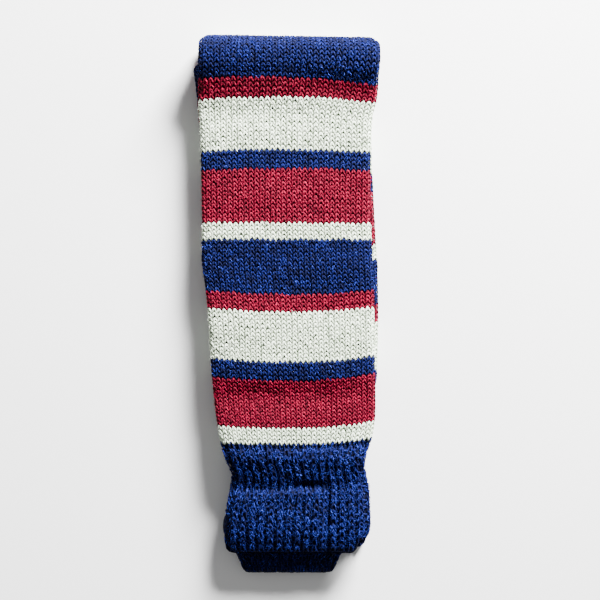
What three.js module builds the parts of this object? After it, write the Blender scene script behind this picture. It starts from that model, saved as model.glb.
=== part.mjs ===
// A pair of knitted leg warmers, laid together, folded in half and lying flat.
// Millimetres. X runs across the bundle, Y from the cuff ends to the fold, Z up from the surface it rests on.
// The outer leg warmer is wrapped round the inner one. Each is a knitted tube pressed flat.
import * as THREE from 'three';

// Driving dimensions
const LAYER_GAP = 0.35; // air left between two layers that lie on each other
const SEAM_GAP = 0.3; // between a leg and its cuff
const OUTER_SHARE = 0.235; // share of the pile's height that one half of the outer tube takes
const FOLD_Y = 177.8; // where the fold starts to turn
const FOLD_HEIGHT = 26; // height of the pile there
const FOLD_SLANT = 0.0155; // the fold runs down to the right by this slope
const OUTER_SEAM_Y = -98.4; // where the outer leg meets its cuffs
const INNER_SEAM_Y = -110.4; // the inner leg sits this much further down
const SIDE_DROOP = 0.11; // the pile is lower by this share along its two long edges
const CUFF_DROOP = 0.18; // and by this share beside the cuffs
const RIB_COUNT = 15; // knit ribs across one face of a cuff
const RIB_DEPTH = 1.1;
const MOUTH_DEPTH = 22; // how far a cuff's mouth is open
const MOUTH_SLIT = 0.5; // width of the slit between its two plies
const PLY = 2.6; // thickness of the ribbed cloth
const MOUTH_LENGTH = 24; // stretch of a cuff that follows the line of its mouth
const EDGE_DEPTH = 0.55; // where a tube is widest, as a share of its thickness from its outer face
const BACK_INSET = 0.8; // the rear half of the outer leg lies this much inside the front half's edges
const CORNER_INSET = 4.4; // rounding of the fold's two corners
const INNER_DROP = 5.1; // how far the inner layers sink to the surface past the cuff that lies under them
const LEG_ROUND = { outer: 5, inner: 1.8 }; // rounding of a tube's edges towards its outer and hidden face
const CUFF_ROUND = { outer: 3.6, inner: 1.8 };
const PAIR_ROUND = 2.6; // rounding of the folded inner leg's edges
const GROOVE = 2.0; // depth of the groove between its two halves

// Height of the pile along Y
const PILE = [
  { y: -195, top: 17.6 },
  { y: -175, top: 18.6 },
  { y: -169, top: 20.2 },
  { y: -162, top: 21.8 },
  { y: -155, top: 22.5 },
  { y: -146, top: 22.8 },
  { y: -134, top: 21.7 },
  { y: -126, top: 19.9 },
  { y: -118, top: 20.6 },
  { y: -108, top: 23.1 },
  { y: -98, top: 22.1 },
  { y: -82, top: 21.4 },
  { y: -40, top: 21.2 },
  { y: 10, top: 20.4 },
  { y: 60, top: 19.4 },
  { y: 136, top: 19.2 },
  { y: 147, top: 19.6 },
  { y: 155, top: 20.8 },
  { y: 163, top: 23.0 },
  { y: 170, top: 25.3 },
  { y: FOLD_Y, top: FOLD_HEIGHT },
  { y: 200, top: FOLD_HEIGHT },
];

// Left and right edge of the outer leg warmer's front half
const OUTER_EDGES = [
  { y: -175, left: -43.9, right: 57.6 },
  { y: -160.5, left: -44.5, right: 58.6 },
  { y: -149, left: -43.5, right: 58.6 },
  { y: -137, left: -41.3, right: 58.1 },
  { y: -127, left: -39.5, right: 57.4 },
  { y: -121, left: -38.8, right: 55.6 },
  { y: -115, left: -40.4, right: 54.6 },
  { y: -109, left: -43.2, right: 55.2 },
  { y: -98.4, left: -46.2, right: 59.3 },
  { y: -82, left: -49.4, right: 62.0 },
  { y: -64, left: -51.7, right: 62.1 },
  { y: -37, left: -54.0, right: 61.6 },
  { y: -14, left: -55.0, right: 61.4 },
  { y: 10, left: -57.5, right: 61.1 },
  { y: 27, left: -59.8, right: 60.3 },
  { y: 46, left: -60.0, right: 59.6 },
  { y: 58, left: -59.8, right: 58.6 },
  { y: 130, left: -61.4, right: 59.6 },
  { y: 139, left: -62.2, right: 60.8 },
  { y: 151, left: -62.4, right: 63.5 },
  { y: 165, left: -62.5, right: 64.4 },
  { y: 180, left: -62.1, right: 65.6 },
  { y: 195, left: -61.8, right: 65.2 },
];

// Left and right edge of the inner leg warmer, with the corner that sticks out just below the fold
const INNER_EDGES = [
  { y: -192, left: -32.0, right: 34.2 },
  { y: -186, left: -32.8, right: 35.0 },
  { y: -178, left: -36.0, right: 38.3 },
  { y: -174, left: -37.4, right: 40.6 },
  { y: -165, left: -40.5, right: 46.5 },
  { y: -155, left: -41.5, right: 50.5 },
  { y: -140, left: -39.6, right: 53.0 },
  { y: -127, left: -37.5, right: 53.0 },
  { y: -118, left: -37.6, right: 52.3 },
  { y: -110.4, left: -40.5, right: 53.5 },
  { y: -98, left: -44.0, right: 57.3 },
  { y: -82, left: -47.5, right: 60.3 },
  { y: -67, left: -49.5, right: 61.4 },
  { y: -57, left: -50.6, right: 63.2 },
  { y: -37, left: -52.5, right: 63.8 },
  { y: -14, left: -53.5, right: 64.4 },
  { y: 27, left: -58.2, right: 63.9 },
  { y: 58, left: -58.5, right: 62.1 },
  { y: 120, left: -61.2, right: 59.5 },
  { y: 136, left: -62.6, right: 60.0 },
  { y: 148, left: -63.8, right: 61.4 },
  { y: 158, left: -65.0, right: 62.0 },
  { y: 167, left: -65.6, right: 62.3 },
  { y: 170.5, left: -61.5, right: 62.4 },
  { y: 180, left: -60.0, right: 62.0 },
  { y: 195, left: -58.0, right: 60.0 },
];

// Creases pressed into the ankle cuff on top: a trough, the roll below it and a deep groove between ribs
const CUFF_CREASES = [
  { x: 12, y: -126.8, reachX: 20, reachY: 2.6, lift: -2.8 },
  { x: 0, y: -133.0, reachX: 20, reachY: 4.2, lift: 1.2 },
  { x: 36, y: -150.0, reachX: 8, reachY: 17, lift: -1.6 },
  { x: -20, y: -119.0, reachX: 16, reachY: 4.0, lift: -0.9 },
  { x: -45.5, y: -147.0, reachX: 6.5, reachY: 22, lift: -2.4 },
];

// Soft troughs and ridges in the leg's upper face
const LEG_CREASES = [
  { x: -12, y: -65, reachX: 44, reachY: 11, lift: -2.6 },
  { x: 40, y: -64, reachX: 20, reachY: 10, lift: -1.6 },
  { x: 4, y: -44, reachX: 50, reachY: 12, lift: 0.7 },
  { x: 40, y: 156, reachX: 28, reachY: 9, lift: -1.3 },
  { x: -30, y: 60, reachX: 20, reachY: 9, lift: -0.9 },
  { x: 40, y: -6, reachX: 24, reachY: 11, lift: -0.9 },
  { x: -40, y: -18, reachX: 26, reachY: 12, lift: 0.8 },
];

// The four cuffs: their mouths' lines and how far their edges lie inside the leg's edges
const CUFFS = [
  {
    name: 'outer_ankle_cuff', layer: 'outerFront', edges: OUTER_EDGES, inset: 0, seam: OUTER_SEAM_Y,
    upperEnd: -174.2, lowerEnd: -175.4, corner: 7, rightRise: 8, ribs: true, creases: CUFF_CREASES,
  },
  {
    name: 'inner_ankle_cuff', layer: 'innerFront', edges: INNER_EDGES, inset: 0, seam: INNER_SEAM_Y,
    upperEnd: -189.9, lowerEnd: -190.4, corner: 5.5, rightRise: 0, ribs: true,
  },
  {
    name: 'inner_top_cuff', layer: 'innerBack', edges: INNER_EDGES, inset: 1.2, seam: INNER_SEAM_Y,
    upperEnd: -184.6, lowerEnd: -185.4, corner: 5, rightRise: 0, ribs: false,
  },
  {
    name: 'outer_top_cuff', layer: 'outerBack', edges: OUTER_EDGES, inset: 2.2, seam: OUTER_SEAM_Y,
    upperEnd: -171.6, lowerEnd: -172.6, corner: 5, rightRise: 0, ribs: false,
  },
];

const smoothstep = (low, high, value) => THREE.MathUtils.smoothstep(value, low, high);
const mix = THREE.MathUtils.lerp;

// Smooth reading of one column of a table at a given y
function read(table, column, y) {
  const last = table.length - 1;
  if (y <= table[0].y) return table[0][column];
  if (y >= table[last].y) return table[last][column];
  const i = table.findIndex((row) => row.y > y) - 1;
  const slope = (j) => {
    const before = table[Math.max(j - 1, 0)];
    const after = table[Math.min(j + 1, last)];
    return (after[column] - before[column]) / (after.y - before.y);
  };
  const span = table[i + 1].y - table[i].y;
  const t = (y - table[i].y) / span;
  const straight = mix(table[i][column], table[i + 1][column], t);
  const bend = t * (1 - t) ** 2 * (slope(i) * span) - t ** 2 * (1 - t) * (slope(i + 1) * span);
  const chord = (table[i + 1][column] - table[i][column]) * t * (1 - t) * (1 - 2 * t);
  return straight + bend - chord;
}

// The inner layers sink to the surface past the end of the cuff that lies under them
function sink(y) {
  return INNER_DROP * (1 - smoothstep(-193, -174, y));
}

// Lowest and highest z of each layer of the pile
function layerHeights(layer, y) {
  const top = read(PILE, 'top', y);
  const outer = top * OUTER_SHARE;
  const drop = sink(y);
  if (layer === 'outerBack') return [0, outer];
  if (layer === 'innerBack') return [outer + LAYER_GAP - drop, top / 2 - LAYER_GAP - drop];
  if (layer === 'innerFront') return [top / 2 + LAYER_GAP / 2 - drop, top - outer - LAYER_GAP - drop];
  return [top - outer, top];
}

// The slant of the fold and the lower long edges, given to every point of the pile
function settle(x, y, z) {
  const left = read(OUTER_EDGES, 'left', y);
  const right = read(OUTER_EDGES, 'right', y);
  const side = (x - (left + right) / 2) / ((right - left) / 2);
  const most = mix(CUFF_DROOP, SIDE_DROOP, smoothstep(-138, -100, y)) * (1 - smoothstep(150, 176, y));
  const droop = 1 - most * Math.min(side ** 2, 1.2) ** 2;
  const slant = FOLD_SLANT * (x + 60) * smoothstep(110, 176, y);
  return new THREE.Vector3(x, y - slant, z * droop);
}

const EDGE_STEPS = 3; // half of the points round one edge of a tube

// Section of a flattened tube: x, and depth from 0 at its outer face to 1 at its hidden face
function tubeSection(left, right, across, rounding) {
  const points = [];
  for (let i = 0; i <= across.outer; i++) {
    const share = i / across.outer;
    const x = mix(left + rounding.outer, right - rounding.outer, share);
    points.push({ x, depth: 0, face: 'outer', share });
  }
  for (let i = 1; i < 2 * EDGE_STEPS; i++) {
    const angle = (i / (2 * EDGE_STEPS)) * Math.PI;
    const round = i < EDGE_STEPS ? rounding.outer : rounding.inner;
    const half = angle < Math.PI / 2 ? EDGE_DEPTH : 1 - EDGE_DEPTH;
    const x = right - round + round * Math.sin(angle);
    points.push({ x, depth: EDGE_DEPTH - half * Math.cos(angle), face: 'edge', share: 1 });
  }
  for (let i = 0; i <= across.inner; i++) {
    const share = 1 - i / across.inner;
    const x = mix(left + rounding.inner, right - rounding.inner, share);
    points.push({ x, depth: 1, face: 'inner', share });
  }
  for (let i = 2 * EDGE_STEPS - 1; i > 0; i--) {
    const angle = (i / (2 * EDGE_STEPS)) * Math.PI;
    const round = i < EDGE_STEPS ? rounding.outer : rounding.inner;
    const half = angle < Math.PI / 2 ? EDGE_DEPTH : 1 - EDGE_DEPTH;
    const x = left + round - round * Math.sin(angle);
    points.push({ x, depth: EDGE_DEPTH - half * Math.cos(angle), face: 'edge', share: 0 });
  }
  return points;
}

// Closed body through rings of equal length; each end is capped across its section
function loft(rings, startCap, endCap) {
  const count = rings[0].length;
  const positions = rings.flat().flatMap((p) => [p.x, p.y, p.z]);
  const faces = [];
  for (let r = 0; r + 1 < rings.length; r++) {
    for (let i = 0; i < count; i++) {
      const a = r * count + i;
      const b = r * count + ((i + 1) % count);
      faces.push([a, b, b + count], [a, b + count, a + count]);
    }
  }
  const lastStart = (rings.length - 1) * count;
  for (const triangle of startCap) faces.push([...triangle].reverse());
  for (const [a, b, c] of endCap) {
    faces.push([a + lastStart, b + lastStart, c + lastStart]);
  }
  const geometry = new THREE.BufferGeometry();
  geometry.setAttribute('position', new THREE.Float32BufferAttribute(positions, 3));
  geometry.setIndex(outward(faces, positions).flat());
  geometry.computeVertexNormals();
  return geometry;
}

// Closes the end of a tube like a zip, from the middle of its left edge to the middle of its right edge
function zipCap(ring, section) {
  const count = ring.length;
  const centre = (Math.min(...section.map((p) => p.x)) + Math.max(...section.map((p) => p.x))) / 2;
  const middleOf = (onSide) => {
    const offMiddle = section.map((p) => (onSide(p) ? Math.abs(p.depth - 0.5) : Infinity));
    return offMiddle.indexOf(Math.min(...offMiddle));
  };
  const left = middleOf((p) => p.x < centre);
  const right = middleOf((p) => p.x > centre);
  const chain = (step) => {
    const points = [left];
    while (points.at(-1) !== right) points.push((points.at(-1) + step + count) % count);
    const lengths = [0];
    for (let i = 1; i < points.length; i++) {
      lengths.push(lengths[i - 1] + ring[points[i]].distanceTo(ring[points[i - 1]]));
    }
    return { points, share: lengths.map((length) => length / lengths.at(-1)) };
  };
  const upper = chain(1);
  const lower = chain(-1);
  const faces = [];
  let i = 0;
  let j = 0;
  while (i < upper.points.length - 1 || j < lower.points.length - 1) {
    const upperNext = i + 1 < upper.points.length ? upper.share[i + 1] : Infinity;
    const lowerNext = j + 1 < lower.points.length ? lower.share[j + 1] : Infinity;
    const corner = upperNext <= lowerNext ? upper.points[i + 1] : lower.points[j + 1];
    if (upper.points[i] !== lower.points[j] || corner !== lower.points[j]) {
      faces.push([upper.points[i], corner, lower.points[j]]);
    }
    if (upperNext <= lowerNext) i++;
    else j++;
  }
  return faces.filter((face) => new Set(face).size === 3);
}

// Closes an end of the folded leg, whose section has a groove; its long faces are bowed a little while it is
// divided, so that no point on them is skipped
function groovedCap(ring, section) {
  const left = Math.min(...ring.map((p) => p.x));
  const width = Math.max(...ring.map((p) => p.x)) - left;
  const outline = ring.map((p, i) => {
    const share = (p.x - left) / width;
    const bow = { 0: -1, 1: 1 }[section[i].depth] ?? 0;
    return new THREE.Vector2(p.x, p.z + bow * share * (1 - share));
  });
  return THREE.ShapeUtils.triangulateShape(outline, []);
}

// Turns the faces so that the enclosed volume is positive
function outward(faces, positions) {
  const point = (i) => new THREE.Vector3().fromArray(positions, 3 * i);
  let volume = 0;
  for (const [a, b, c] of faces) volume += point(a).dot(point(b).cross(point(c)));
  return volume > 0 ? faces : faces.map((face) => [...face].reverse());
}

function creaseLift(creases, x, y) {
  let lift = 0;
  for (const crease of creases) {
    const across = ((x - crease.x) / crease.reachX) ** 2;
    const along = ((y - crease.y) / crease.reachY) ** 2;
    lift += crease.lift * Math.exp(-(across ** 2) - along);
  }
  return lift;
}

// One station of the outer leg's hairpin: its outer and hidden faces in the YZ plane
function frontStation(y) {
  const [low, high] = layerHeights('outerFront', y);
  return { outer: [y, high], inner: [y, low], inset: 0, edgeY: y, creases: LEG_CREASES };
}

function bendStation(angle) {
  const radius = FOLD_HEIGHT / 2;
  const innerRadius = radius - FOLD_HEIGHT * OUTER_SHARE;
  const at = (r) => [FOLD_Y + r * Math.sin(angle), radius + r * Math.cos(angle)];
  const inset = CORNER_INSET * Math.sin(angle) ** 8 + (BACK_INSET * angle) / Math.PI;
  return { outer: at(radius), inner: at(innerRadius), inset, edgeY: FOLD_Y };
}

function backStation(y) {
  const [low, high] = layerHeights('outerBack', y);
  return { outer: [y, low], inner: [y, high], inset: BACK_INSET, edgeY: y };
}

// The layers share their rows, so that they stay clear of each other between them
const LEG_ROWS = [-82, -73, -66, -59, -49, -35, -10, 15, 38, 62, 90, 115, 130, 139, 147, 154, 161, 167, 173];
const CUFF_ROWS = [-104, -110.7, -114.5, -118, -121.5, -124.5, -127.5, -130.5, -134, -139, -146];
const MOUTH_ROWS = [0.4, 0.75, 0.93];
const BEND_STEPS = 12;
const LEG_ACROSS = { outer: 12, inner: 8 }; // steps across a leg's two faces

function outerLeg() {
  const stations = [OUTER_SEAM_Y, ...LEG_ROWS].map(frontStation);
  for (let i = 0; i <= BEND_STEPS; i++) stations.push(bendStation((i / BEND_STEPS) * Math.PI));
  stations.push(...[OUTER_SEAM_Y, ...LEG_ROWS].reverse().map(backStation));
  const sections = stations.map((s) => {
    const left = read(OUTER_EDGES, 'left', s.edgeY) + s.inset;
    const right = read(OUTER_EDGES, 'right', s.edgeY) - s.inset;
    return tubeSection(left, right, LEG_ACROSS, LEG_ROUND);
  });
  const rings = stations.map((s, i) => sections[i].map((p) => {
    const y = mix(s.outer[0], s.inner[0], p.depth);
    const lift = creaseLift(s.creases ?? [], p.x, y) * (1 - p.depth);
    return settle(p.x, y, mix(s.outer[1], s.inner[1], p.depth) + lift);
  }));
  return loft(rings, zipCap(rings[0], sections[0]), zipCap(rings.at(-1), sections.at(-1)));
}

// Section of the folded inner leg: two round-edged tubes, one on the other, in one solid
function pairSection(left, right, groove) {
  const points = [];
  const across = 8;
  const lobe = 5;
  const edge = (share, towards, side) => {
    const rounding = PAIR_ROUND * (1 - Math.abs(Math.sin(share * 2 * Math.PI))) ** 1.5;
    const atGroove = Math.abs(share - 0.5) < 0.01;
    return { x: side - towards * (atGroove ? groove : rounding), depth: share };
  };
  for (let i = 0; i <= across; i++) {
    points.push({ x: mix(left + PAIR_ROUND, right - PAIR_ROUND, i / across), depth: 0 });
  }
  for (let i = 1; i < 2 * lobe; i++) points.push(edge(i / (2 * lobe), 1, right));
  for (let i = across; i >= 0; i--) {
    points.push({ x: mix(left + PAIR_ROUND, right - PAIR_ROUND, i / across), depth: 1 });
  }
  for (let i = 2 * lobe - 1; i > 0; i--) points.push(edge(i / (2 * lobe), -1, left));
  return points;
}

// The corner below the fold needs rows of its own
const CORNER_ROWS = [168.6, 170.4];
const TURNED = [0.25, 0.5, 0.72, 0.86]; // shares of the quarter turn at its fold

function innerLeg() {
  const bottom = (y) => layerHeights('innerBack', y)[0];
  const top = (y) => layerHeights('innerFront', y)[1];
  const rows = [INNER_SEAM_Y, -104, OUTER_SEAM_Y, ...LEG_ROWS, ...CORNER_ROWS, FOLD_Y].sort((a, b) => a - b);
  const stations = rows.map((y) => ({ y, low: bottom(y), high: top(y), edgeY: y, groove: GROOVE }));
  const middle = FOLD_HEIGHT / 2;
  const radius = top(FOLD_Y) - middle;
  for (const share of TURNED) {
    const angle = (share * Math.PI) / 2;
    const half = radius * Math.cos(angle);
    const y = FOLD_Y + radius * Math.sin(angle);
    stations.push({ y, low: middle - half, high: middle + half, edgeY: y, groove: GROOVE * (1 - share) });
  }
  const sections = stations.map((s) =>
    pairSection(read(INNER_EDGES, 'left', s.edgeY), read(INNER_EDGES, 'right', s.edgeY), s.groove));
  const rings = stations.map((s, i) => sections[i].map((p) => settle(p.x, s.y, mix(s.low, s.high, p.depth))));
  return loft(rings, groovedCap(rings[0], sections[0]), groovedCap(rings.at(-1), sections.at(-1)));
}

// Rise of a mouth's line towards its rounded corners and its cut-back right side
function mouthRise(cuff, x, left, right) {
  const fromSide = Math.min(x - left, right - x);
  const over = THREE.MathUtils.clamp(1 - fromSide / cuff.corner, 0, 1);
  const corner = cuff.corner * (1 - Math.sqrt(1 - over ** 2)) * 0.9;
  return corner + cuff.rightRise * smoothstep(46, 52.5, x);
}

const RIB_STEPS = 3; // points for each rib

// The rounded rim of a cuff's mouth and the slit behind it: each ring's distance back from the mouth's line,
// its share of the way to the middle of its ply and its distance in from the edges
const RIM = [
  { back: 0.7, toMiddle: 0.25, inward: 0 },
  { back: 0, toMiddle: 0.8, inward: 0.7 },
];
const SLIT = [
  { back: 0.9, inward: PLY * 0.8 },
  { back: 4, inward: PLY },
  { back: MOUTH_DEPTH, inward: PLY },
];

// A cuff: a pressed tube with raised ribs, open at its mouth, closed where the leg carries on
function cuffShape(cuff) {
  const across = { outer: cuff.ribs ? RIB_COUNT * RIB_STEPS : 8, inner: 8 };
  const onTop = cuff.layer.endsWith('Front');
  const edgesAt = (y) => [
    read(cuff.edges, 'left', y) + cuff.inset,
    read(cuff.edges, 'right', y) - cuff.inset,
  ];
  const sectionAt = (y) => {
    const [left, right] = edgesAt(y);
    return tubeSection(left, right, across, CUFF_ROUND);
  };
  const mouthAt = (depth) => mix(cuff.upperEnd, cuff.lowerEnd, depth);
  const place = (p, y, depth, outside) => {
    const [low, high] = layerHeights(cuff.layer, y);
    const height = high - low;
    const ribbed = outside && cuff.ribs && p.face === 'outer';
    const valley = ribbed ? (0.5 + 0.5 * Math.cos(p.share * RIB_COUNT * 2 * Math.PI)) * (1 - 2 * depth) : 0;
    const crease = creaseLift(cuff.creases ?? [], p.x, y) * (1 - depth);
    const fromOuter = depth * height + RIB_DEPTH * valley;
    const z = onTop ? high - fromOuter + crease : low + fromOuter;
    return settle(p.x, y, z);
  };
  const slitDepth = (depth, y) => {
    const [low, high] = layerHeights(cuff.layer, y);
    const half = MOUTH_SLIT / 2 / (high - low);
    return 0.5 + THREE.MathUtils.clamp((depth - 0.5) * 2, -1, 1) * half;
  };
  const start = cuff.seam - SEAM_GAP;
  const mouthStart = mouthAt(0.5) + MOUTH_LENGTH;
  const ring = (share, back, depthOf, inward) => {
    const nearY = mix(mouthStart, mouthAt(0.5), share);
    const [left, right] = edgesAt(nearY);
    return sectionAt(nearY).map((p) => {
      const end = mouthAt(p.depth) + mouthRise(cuff, p.x, left, right);
      const y = mix(mouthStart, end, share) + back;
      const middle = (left + right) / 2;
      const x = middle + (p.x - middle) * (1 - (2 * inward) / (right - left));
      return place({ ...p, x }, y, depthOf(p.depth, y), inward === 0);
    });
  };
  const whole = (depth) => depth;
  const towardsPly = (amount) => (depth) => mix(depth, depth < 0.5 ? 0.25 : 0.75, amount);
  const rows = [start, ...CUFF_ROWS.filter((y) => y < start - 1 && y > mouthStart + 2)];
  const rings = rows.map((y) => sectionAt(y).map((p) => place(p, y, p.depth, true)));
  for (const share of MOUTH_ROWS) rings.push(ring(share, 0, whole, 0));
  for (const { back, toMiddle, inward } of RIM) rings.push(ring(1, back, towardsPly(toMiddle), inward));
  for (const { back, inward } of SLIT) rings.push(ring(1, back, slitDepth, inward));
  const section = sectionAt(start);
  return loft(rings, zipCap(rings[0], section), zipCap(rings.at(-1), section));
}

const striped = new THREE.MeshStandardMaterial({ color: 0x9a2440, roughness: 0.95, metalness: 0 });
const lining = new THREE.MeshStandardMaterial({ color: 0xe6e8dc, roughness: 0.95, metalness: 0 });
const navy = new THREE.MeshStandardMaterial({ color: 0x1f2f74, roughness: 0.95, metalness: 0 });

function piece(name, geometry, material) {
  const mesh = new THREE.Mesh(geometry, material);
  mesh.name = name;
  return mesh;
}

const pair = new THREE.Group();
pair.add(piece('outer_leg', outerLeg(), striped));
pair.add(piece('inner_leg', innerLeg(), lining));
for (const cuff of CUFFS) pair.add(piece(cuff.name, cuffShape(cuff), navy));

export default pair;
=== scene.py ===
import math

import bmesh
import bpy
import numpy as np
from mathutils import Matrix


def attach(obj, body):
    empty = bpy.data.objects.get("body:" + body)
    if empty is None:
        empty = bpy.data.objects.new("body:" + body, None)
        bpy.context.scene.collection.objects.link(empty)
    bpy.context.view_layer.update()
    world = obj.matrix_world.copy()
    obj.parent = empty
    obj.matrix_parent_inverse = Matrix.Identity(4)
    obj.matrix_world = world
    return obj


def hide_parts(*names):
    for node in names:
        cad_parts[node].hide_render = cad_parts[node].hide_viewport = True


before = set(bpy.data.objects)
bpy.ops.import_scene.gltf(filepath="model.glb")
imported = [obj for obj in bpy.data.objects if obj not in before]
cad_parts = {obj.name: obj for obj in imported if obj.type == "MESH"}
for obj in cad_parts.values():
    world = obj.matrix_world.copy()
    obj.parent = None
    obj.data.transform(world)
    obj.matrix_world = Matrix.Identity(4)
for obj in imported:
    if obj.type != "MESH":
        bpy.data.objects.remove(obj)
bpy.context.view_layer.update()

# Camera
# The pair is seen from straight above, as it lies. The photograph's 600 pixels span 423 mm at the height of
# the upper cloth, and its centre lies a little right of and above the middle of the pair.
MM = 0.001
PHOTO_SPAN = 423.3 * MM
CAMERA_DISTANCE = 1.15
SENSOR_WIDTH = 36
UPPER_CLOTH = 18 * MM
VIEW_CENTRE = (9.2 * MM, 3.2 * MM)

camera_data = bpy.data.cameras.new("overhead_camera")
camera_data.sensor_width = SENSOR_WIDTH
camera_data.lens = SENSOR_WIDTH * CAMERA_DISTANCE / PHOTO_SPAN
camera = bpy.data.objects.new("overhead_camera", camera_data)
camera.location = (*VIEW_CENTRE, UPPER_CLOTH + CAMERA_DISTANCE)
bpy.context.scene.collection.objects.link(camera)
bpy.context.scene.camera = camera

# Floor and light
# A pale matt floor. One broad soft light stands low beyond the fold, a little to the right, and the pale
# surroundings fill the shade.


def linear(hex_colour):
    """An sRGB hex value as linear red, green, blue and alpha."""
    channels = [int(hex_colour[i : i + 2], 16) / 255 for i in (1, 3, 5)]
    return [c / 12.92 if c <= 0.04045 else ((c + 0.055) / 1.055) ** 2.4 for c in channels] + [1.0]


def add_node(material, kind, settings=None, inputs=None, links=None):
    """One node with its settings and input values, and links from other nodes' sockets to its inputs."""
    node = material.node_tree.nodes.new(kind)
    for key, value in (settings or {}).items():
        setattr(node, key, value)
    for key, value in (inputs or {}).items():
        node.inputs[key].default_value = value
    for key, socket in (links or {}).items():
        material.node_tree.links.new(socket, node.inputs[key])
    return node


def new_material(name):
    material = bpy.data.materials.new(name)
    material.use_nodes = True
    material.node_tree.nodes.clear()
    return material


FLOOR_SIZE = 6.0
floor_material = new_material("matt_white_board")
board = add_node(
    floor_material, "ShaderNodeBsdfPrincipled", inputs={"Base Color": linear("#f2f2f2"), "Roughness": 0.9}
)
add_node(floor_material, "ShaderNodeOutputMaterial", links={"Surface": board.outputs[0]})
shape = bmesh.new()
bmesh.ops.create_grid(shape, x_segments=1, y_segments=1, size=FLOOR_SIZE / 2)
floor_mesh = bpy.data.meshes.new("floor")
shape.to_mesh(floor_mesh)
shape.free()
floor_mesh.materials.append(floor_material)
floor = bpy.data.objects.new("floor", floor_mesh)
bpy.context.scene.collection.objects.link(floor)

WORLD_STRENGTH = 0.33
world = bpy.data.worlds.new("pale_surroundings")
world.use_nodes = True
world.node_tree.nodes["Background"].inputs["Color"].default_value = (1.0, 1.0, 1.0, 1.0)
world.node_tree.nodes["Background"].inputs["Strength"].default_value = WORLD_STRENGTH
bpy.context.scene.world = world

LIGHT_PLACE = (0.68, 1.34, 0.58)
LIGHT_SIZE = (0.6, 0.5)
LIGHT_POWER = 395
light_data = bpy.data.lights.new("window_light", "AREA")
light_data.shape = "RECTANGLE"
light_data.size, light_data.size_y = LIGHT_SIZE
light_data.energy = LIGHT_POWER
light = bpy.data.objects.new("window_light", light_data)
light.location = LIGHT_PLACE
# It faces the middle of the pair
tilt = math.atan2(math.hypot(LIGHT_PLACE[0], LIGHT_PLACE[1]), LIGHT_PLACE[2])
light.rotation_euler = (tilt, 0, math.atan2(LIGHT_PLACE[0], -LIGHT_PLACE[1]))
bpy.context.scene.collection.objects.link(light)

# The folded pile
# Both leg warmers are laid together and folded in half, so four flat tubes lie on each other. These sizes and
# readings are the pile's own, in millimetres: its height along Y, and the two long edges of each leg warmer.
LAYER_GAP = 0.35
OUTER_SHARE = 0.235  # share of the pile's height that one half of the outer tube takes
HALF_WIDTH = 60
FOLD_Y = 177.8  # where the fold starts to turn
FOLD_HEIGHT = 26
FOLD_SLANT = 0.0155  # the fold runs down to the right by this slope
SLANT_STRETCH = (110, 176)
OUTER_SEAM_Y = -98.4  # where the outer leg meets its cuffs
INNER_SEAM_Y = -110.4
SIDE_DROOP = 0.11  # the pile is lower by this share along its two long edges
CUFF_DROOP = 0.18  # and by this share beside the cuffs
CUFF_STRETCH = (-138, -100)
FOLD_STRETCH = (150, 176)  # where the droop ends
INNER_DROP = 5.1  # how far the inner layers sink past the cuff that lies under them
DROP_STRETCH = (-193, -174)

PILE = [
    {"y": -195, "top": 17.6},
    {"y": -175, "top": 18.6},
    {"y": -169, "top": 20.2},
    {"y": -162, "top": 21.8},
    {"y": -155, "top": 22.5},
    {"y": -146, "top": 22.8},
    {"y": -134, "top": 21.7},
    {"y": -126, "top": 19.9},
    {"y": -118, "top": 20.6},
    {"y": -108, "top": 23.1},
    {"y": -98, "top": 22.1},
    {"y": -82, "top": 21.4},
    {"y": -40, "top": 21.2},
    {"y": 10, "top": 20.4},
    {"y": 60, "top": 19.4},
    {"y": 136, "top": 19.2},
    {"y": 147, "top": 19.6},
    {"y": 155, "top": 20.8},
    {"y": 163, "top": 23.0},
    {"y": 170, "top": 25.3},
    {"y": FOLD_Y, "top": FOLD_HEIGHT},
    {"y": 200, "top": FOLD_HEIGHT},
]
OUTER_EDGES = [
    {"y": -175, "left": -43.9, "right": 57.6},
    {"y": -160.5, "left": -44.5, "right": 58.6},
    {"y": -149, "left": -43.5, "right": 58.6},
    {"y": -137, "left": -41.3, "right": 58.1},
    {"y": -127, "left": -39.5, "right": 57.4},
    {"y": -121, "left": -38.8, "right": 55.6},
    {"y": -115, "left": -40.4, "right": 54.6},
    {"y": -109, "left": -43.2, "right": 55.2},
    {"y": -98.4, "left": -46.2, "right": 59.3},
    {"y": -82, "left": -49.4, "right": 62.0},
    {"y": -64, "left": -51.7, "right": 62.1},
    {"y": -37, "left": -54.0, "right": 61.6},
    {"y": -14, "left": -55.0, "right": 61.4},
    {"y": 10, "left": -57.5, "right": 61.1},
    {"y": 27, "left": -59.8, "right": 60.3},
    {"y": 46, "left": -60.0, "right": 59.6},
    {"y": 58, "left": -59.8, "right": 58.6},
    {"y": 130, "left": -61.4, "right": 59.6},
    {"y": 139, "left": -62.2, "right": 60.8},
    {"y": 151, "left": -62.4, "right": 63.5},
    {"y": 165, "left": -62.5, "right": 64.4},
    {"y": 180, "left": -62.1, "right": 65.6},
    {"y": 195, "left": -61.8, "right": 65.2},
]
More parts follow.
